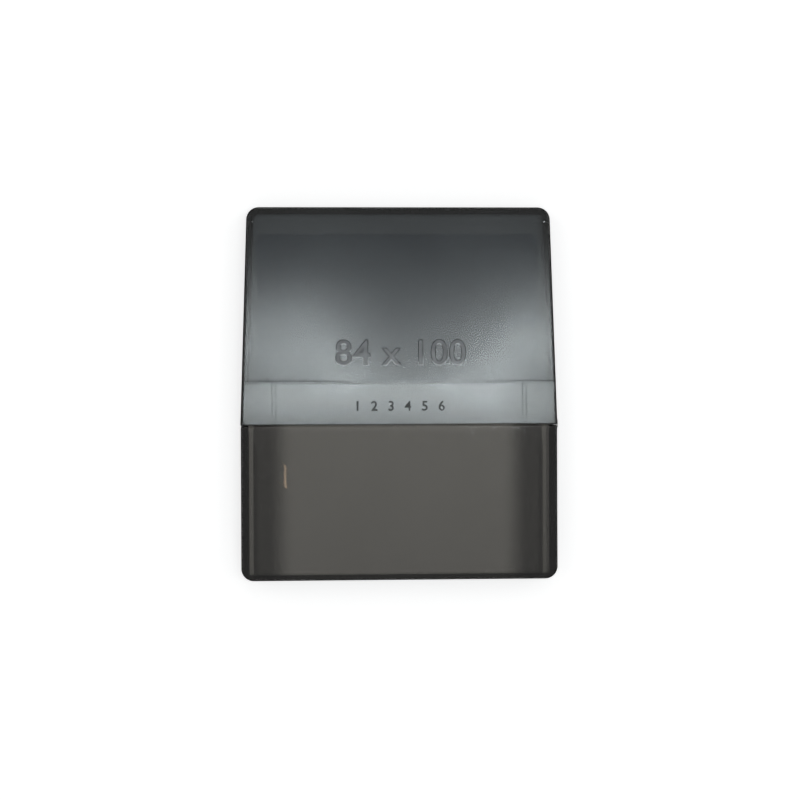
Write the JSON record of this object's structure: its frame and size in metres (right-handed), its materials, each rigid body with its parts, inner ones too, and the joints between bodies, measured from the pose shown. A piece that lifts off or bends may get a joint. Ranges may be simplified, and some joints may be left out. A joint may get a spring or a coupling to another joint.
{
  "type": "slip-lid filter case with square graduated filter",
  "caption": "Smoky slip-lid plastic case, frosted lid over a glossy base, with a square graduated camera filter inside.",
  "frame": {"origin": "under the middle of the closed case, on the surface that its back lies on", "axes": "+Z out of the front face, +Y from the base's foot to the lid's closed end, +X across the case to the right"},
  "size_m": [0.0938, 0.1102, 0.0102],
  "materials": {
    "glossy_smoke": "polished, see-through smoky styrene",
    "frosted_smoke": "fine frosted grain outside, with a smoother band at the mouth",
    "graduated_resin": "clear optical resin, tinted blue-grey at one end and fading to clear"
  },
  "bodies": {
    "base": {"case_base": "glossy_smoke", "graduated_filter": "graduated_resin"},
    "lid": {"case_lid": "frosted_smoke"}
  },
  "joints": [
    {"name": "lid_slide", "type": "slide", "parent": "base", "child": "lid", "axis": [0, 1, 0], "range_m": [0, 0.062]}
  ]
}
